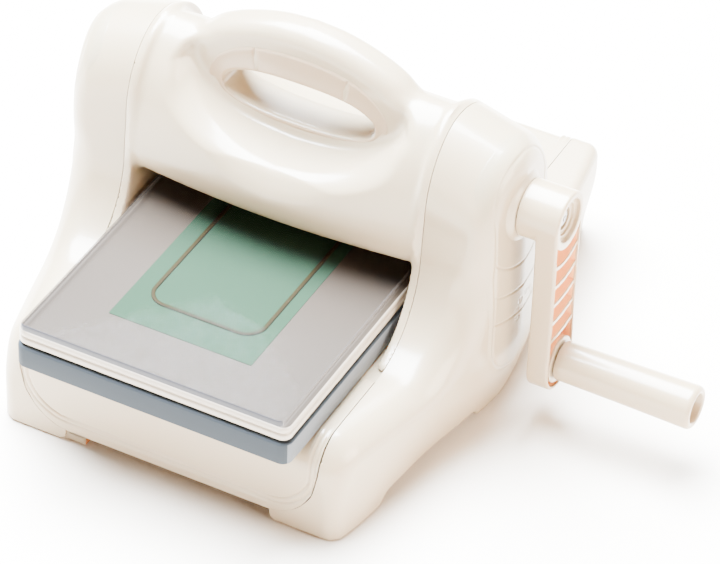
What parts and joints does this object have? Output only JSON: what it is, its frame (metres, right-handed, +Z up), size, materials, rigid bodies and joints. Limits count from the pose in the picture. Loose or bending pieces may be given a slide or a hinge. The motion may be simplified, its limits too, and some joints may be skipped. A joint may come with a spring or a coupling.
{
  "type": "die cutting machine",
  "caption": "Hand-cranked die cutting machine: geared rollers under an arched carrying handle draw a platform with cutting plates, card and a die through the body.",
  "frame": {"origin": "on the table under the middle of the body, below both roller axes and the crank axis", "axes": "+X along the roller axes towards the crank, +Y from the front, where the stack enters, to the back, +Z up"},
  "size_m": [0.3667, 0.3205, 0.2015],
  "materials": {
    "shell": "glossy cream moulding",
    "crank_plastic": "glossy ivory moulding",
    "platform_plastic": "satin blue-grey moulding",
    "plate_plastic": "cream plastic sheet with bright edges",
    "clear_plastic": "clear plastic sheet",
    "card": "matte mint card",
    "die_metal": "gold-coloured thin steel",
    "frame_steel": "dark plated sheet steel",
    "bright_steel": "turned steel",
    "bush_bronze": "sintered bronze",
    "gear_plastic": "natural nylon",
    "rubber": "black rubber"
  },
  "bodies": {
    "housing": {"base_pan": "shell", "front_bed_cover": "shell", "rear_bed_cover": "shell", "left_cheek": "shell", "right_cheek": "shell", "bridge_front_cover": "shell", "bridge_rear_cover": "shell", "carry_handle": "shell", "handle_insert": "shell", "handle_badge": "shell", "left_side_cover": "shell", "right_side_cover": "shell", "left_side_panel": "shell", "right_side_panel": "shell", "crank_collar": "shell", "left_frame_plate": "frame_steel", "right_frame_plate": "frame_steel", "gear_plate": "frame_steel", "gear_plate_posts": "bright_steel", "tie_rods": "bright_steel", "frame_screws": "bright_steel", "gear_plate_screws": "bright_steel", "upper_left_bush": "bush_bronze", "upper_right_bush": "bush_bronze", "lower_left_bush": "bush_bronze", "lower_right_bush": "bush_bronze", "drive_bush_inner": "bush_bronze", "drive_bush_outer": "bush_bronze", "idler_pin_a": "bright_steel", "idler_pin_b": "bright_steel", "rubber_feet": "rubber", "cover_screws": "bright_steel"},
    "upper_roller": {"upper_roller": "bright_steel", "upper_roller_gear": "gear_plastic", "upper_retaining_ring": "frame_steel"},
    "lower_roller": {"lower_roller": "bright_steel", "lower_roller_gear": "gear_plastic", "lower_retaining_ring": "frame_steel"},
    "idler_a": {"idler_gear_a": "gear_plastic"},
    "idler_b": {"idler_gear_b": "gear_plastic"},
    "crank": {"drive_shaft": "bright_steel", "drive_pinion": "bright_steel", "crank_arm": "crank_plastic", "crank_screw": "bright_steel", "crank_washer": "bright_steel", "grip_axle": "bright_steel"},
    "grip": {"grip": "crank_plastic"},
    "platform": {"base_platform": "platform_plastic", "lower_plate": "plate_plastic", "cardstock": "card", "cutting_die": "die_metal", "upper_plate": "clear_plastic"}
  },
  "joints": [
    {"name": "crank_turn", "type": "hinge", "parent": "housing", "child": "crank", "pos_m": [0, 0, 0.134], "axis": [-1, 0, 0], "range_deg": [-260.4, 694.4]},
    {"name": "upper_roller_turn", "type": "hinge", "parent": "housing", "child": "upper_roller", "pos_m": [0, 0, 0.11], "axis": [-1, 0, 0], "range_deg": [-416.8, 156.4]},
    {"name": "idler_a_turn", "type": "hinge", "parent": "housing", "child": "idler_a", "pos_m": [0, 0.00596, 0.08367], "axis": [-1, 0, 0], "range_deg": [-195.4, 520.9]},
    {"name": "idler_b_turn", "type": "hinge", "parent": "housing", "child": "idler_b", "pos_m": [0, -0.00596, 0.06283], "axis": [-1, 0, 0], "range_deg": [-520.9, 195.4]},
    {"name": "lower_roller_turn", "type": "hinge", "parent": "housing", "child": "lower_roller", "pos_m": [0, 0, 0.0365], "axis": [-1, 0, 0], "range_deg": [-156.4, 416.8]},
    {"name": "platform_feed", "type": "slide", "parent": "housing", "child": "platform", "axis": [0, 1, 0], "range_m": [-0.0601, 0.1601]},
    {"name": "grip_spin", "type": "hinge", "parent": "crank", "child": "grip", "pos_m": [0, 0, 0.0397], "axis": [-1, 0, 0], "continuous": true}
  ],
  "couplings": [
    {"joint": "upper_roller_turn", "follows": "crank_turn", "ratio": -0.6},
    {"joint": "idler_a_turn", "follows": "crank_turn", "ratio": 0.75},
    {"joint": "idler_b_turn", "follows": "crank_turn", "ratio": -0.75},
    {"joint": "lower_roller_turn", "follows": "crank_turn", "ratio": 0.6},
    {"joint": "platform_feed", "follows": "crank_turn", "m_per_rad": 0.0132}
  ]
}
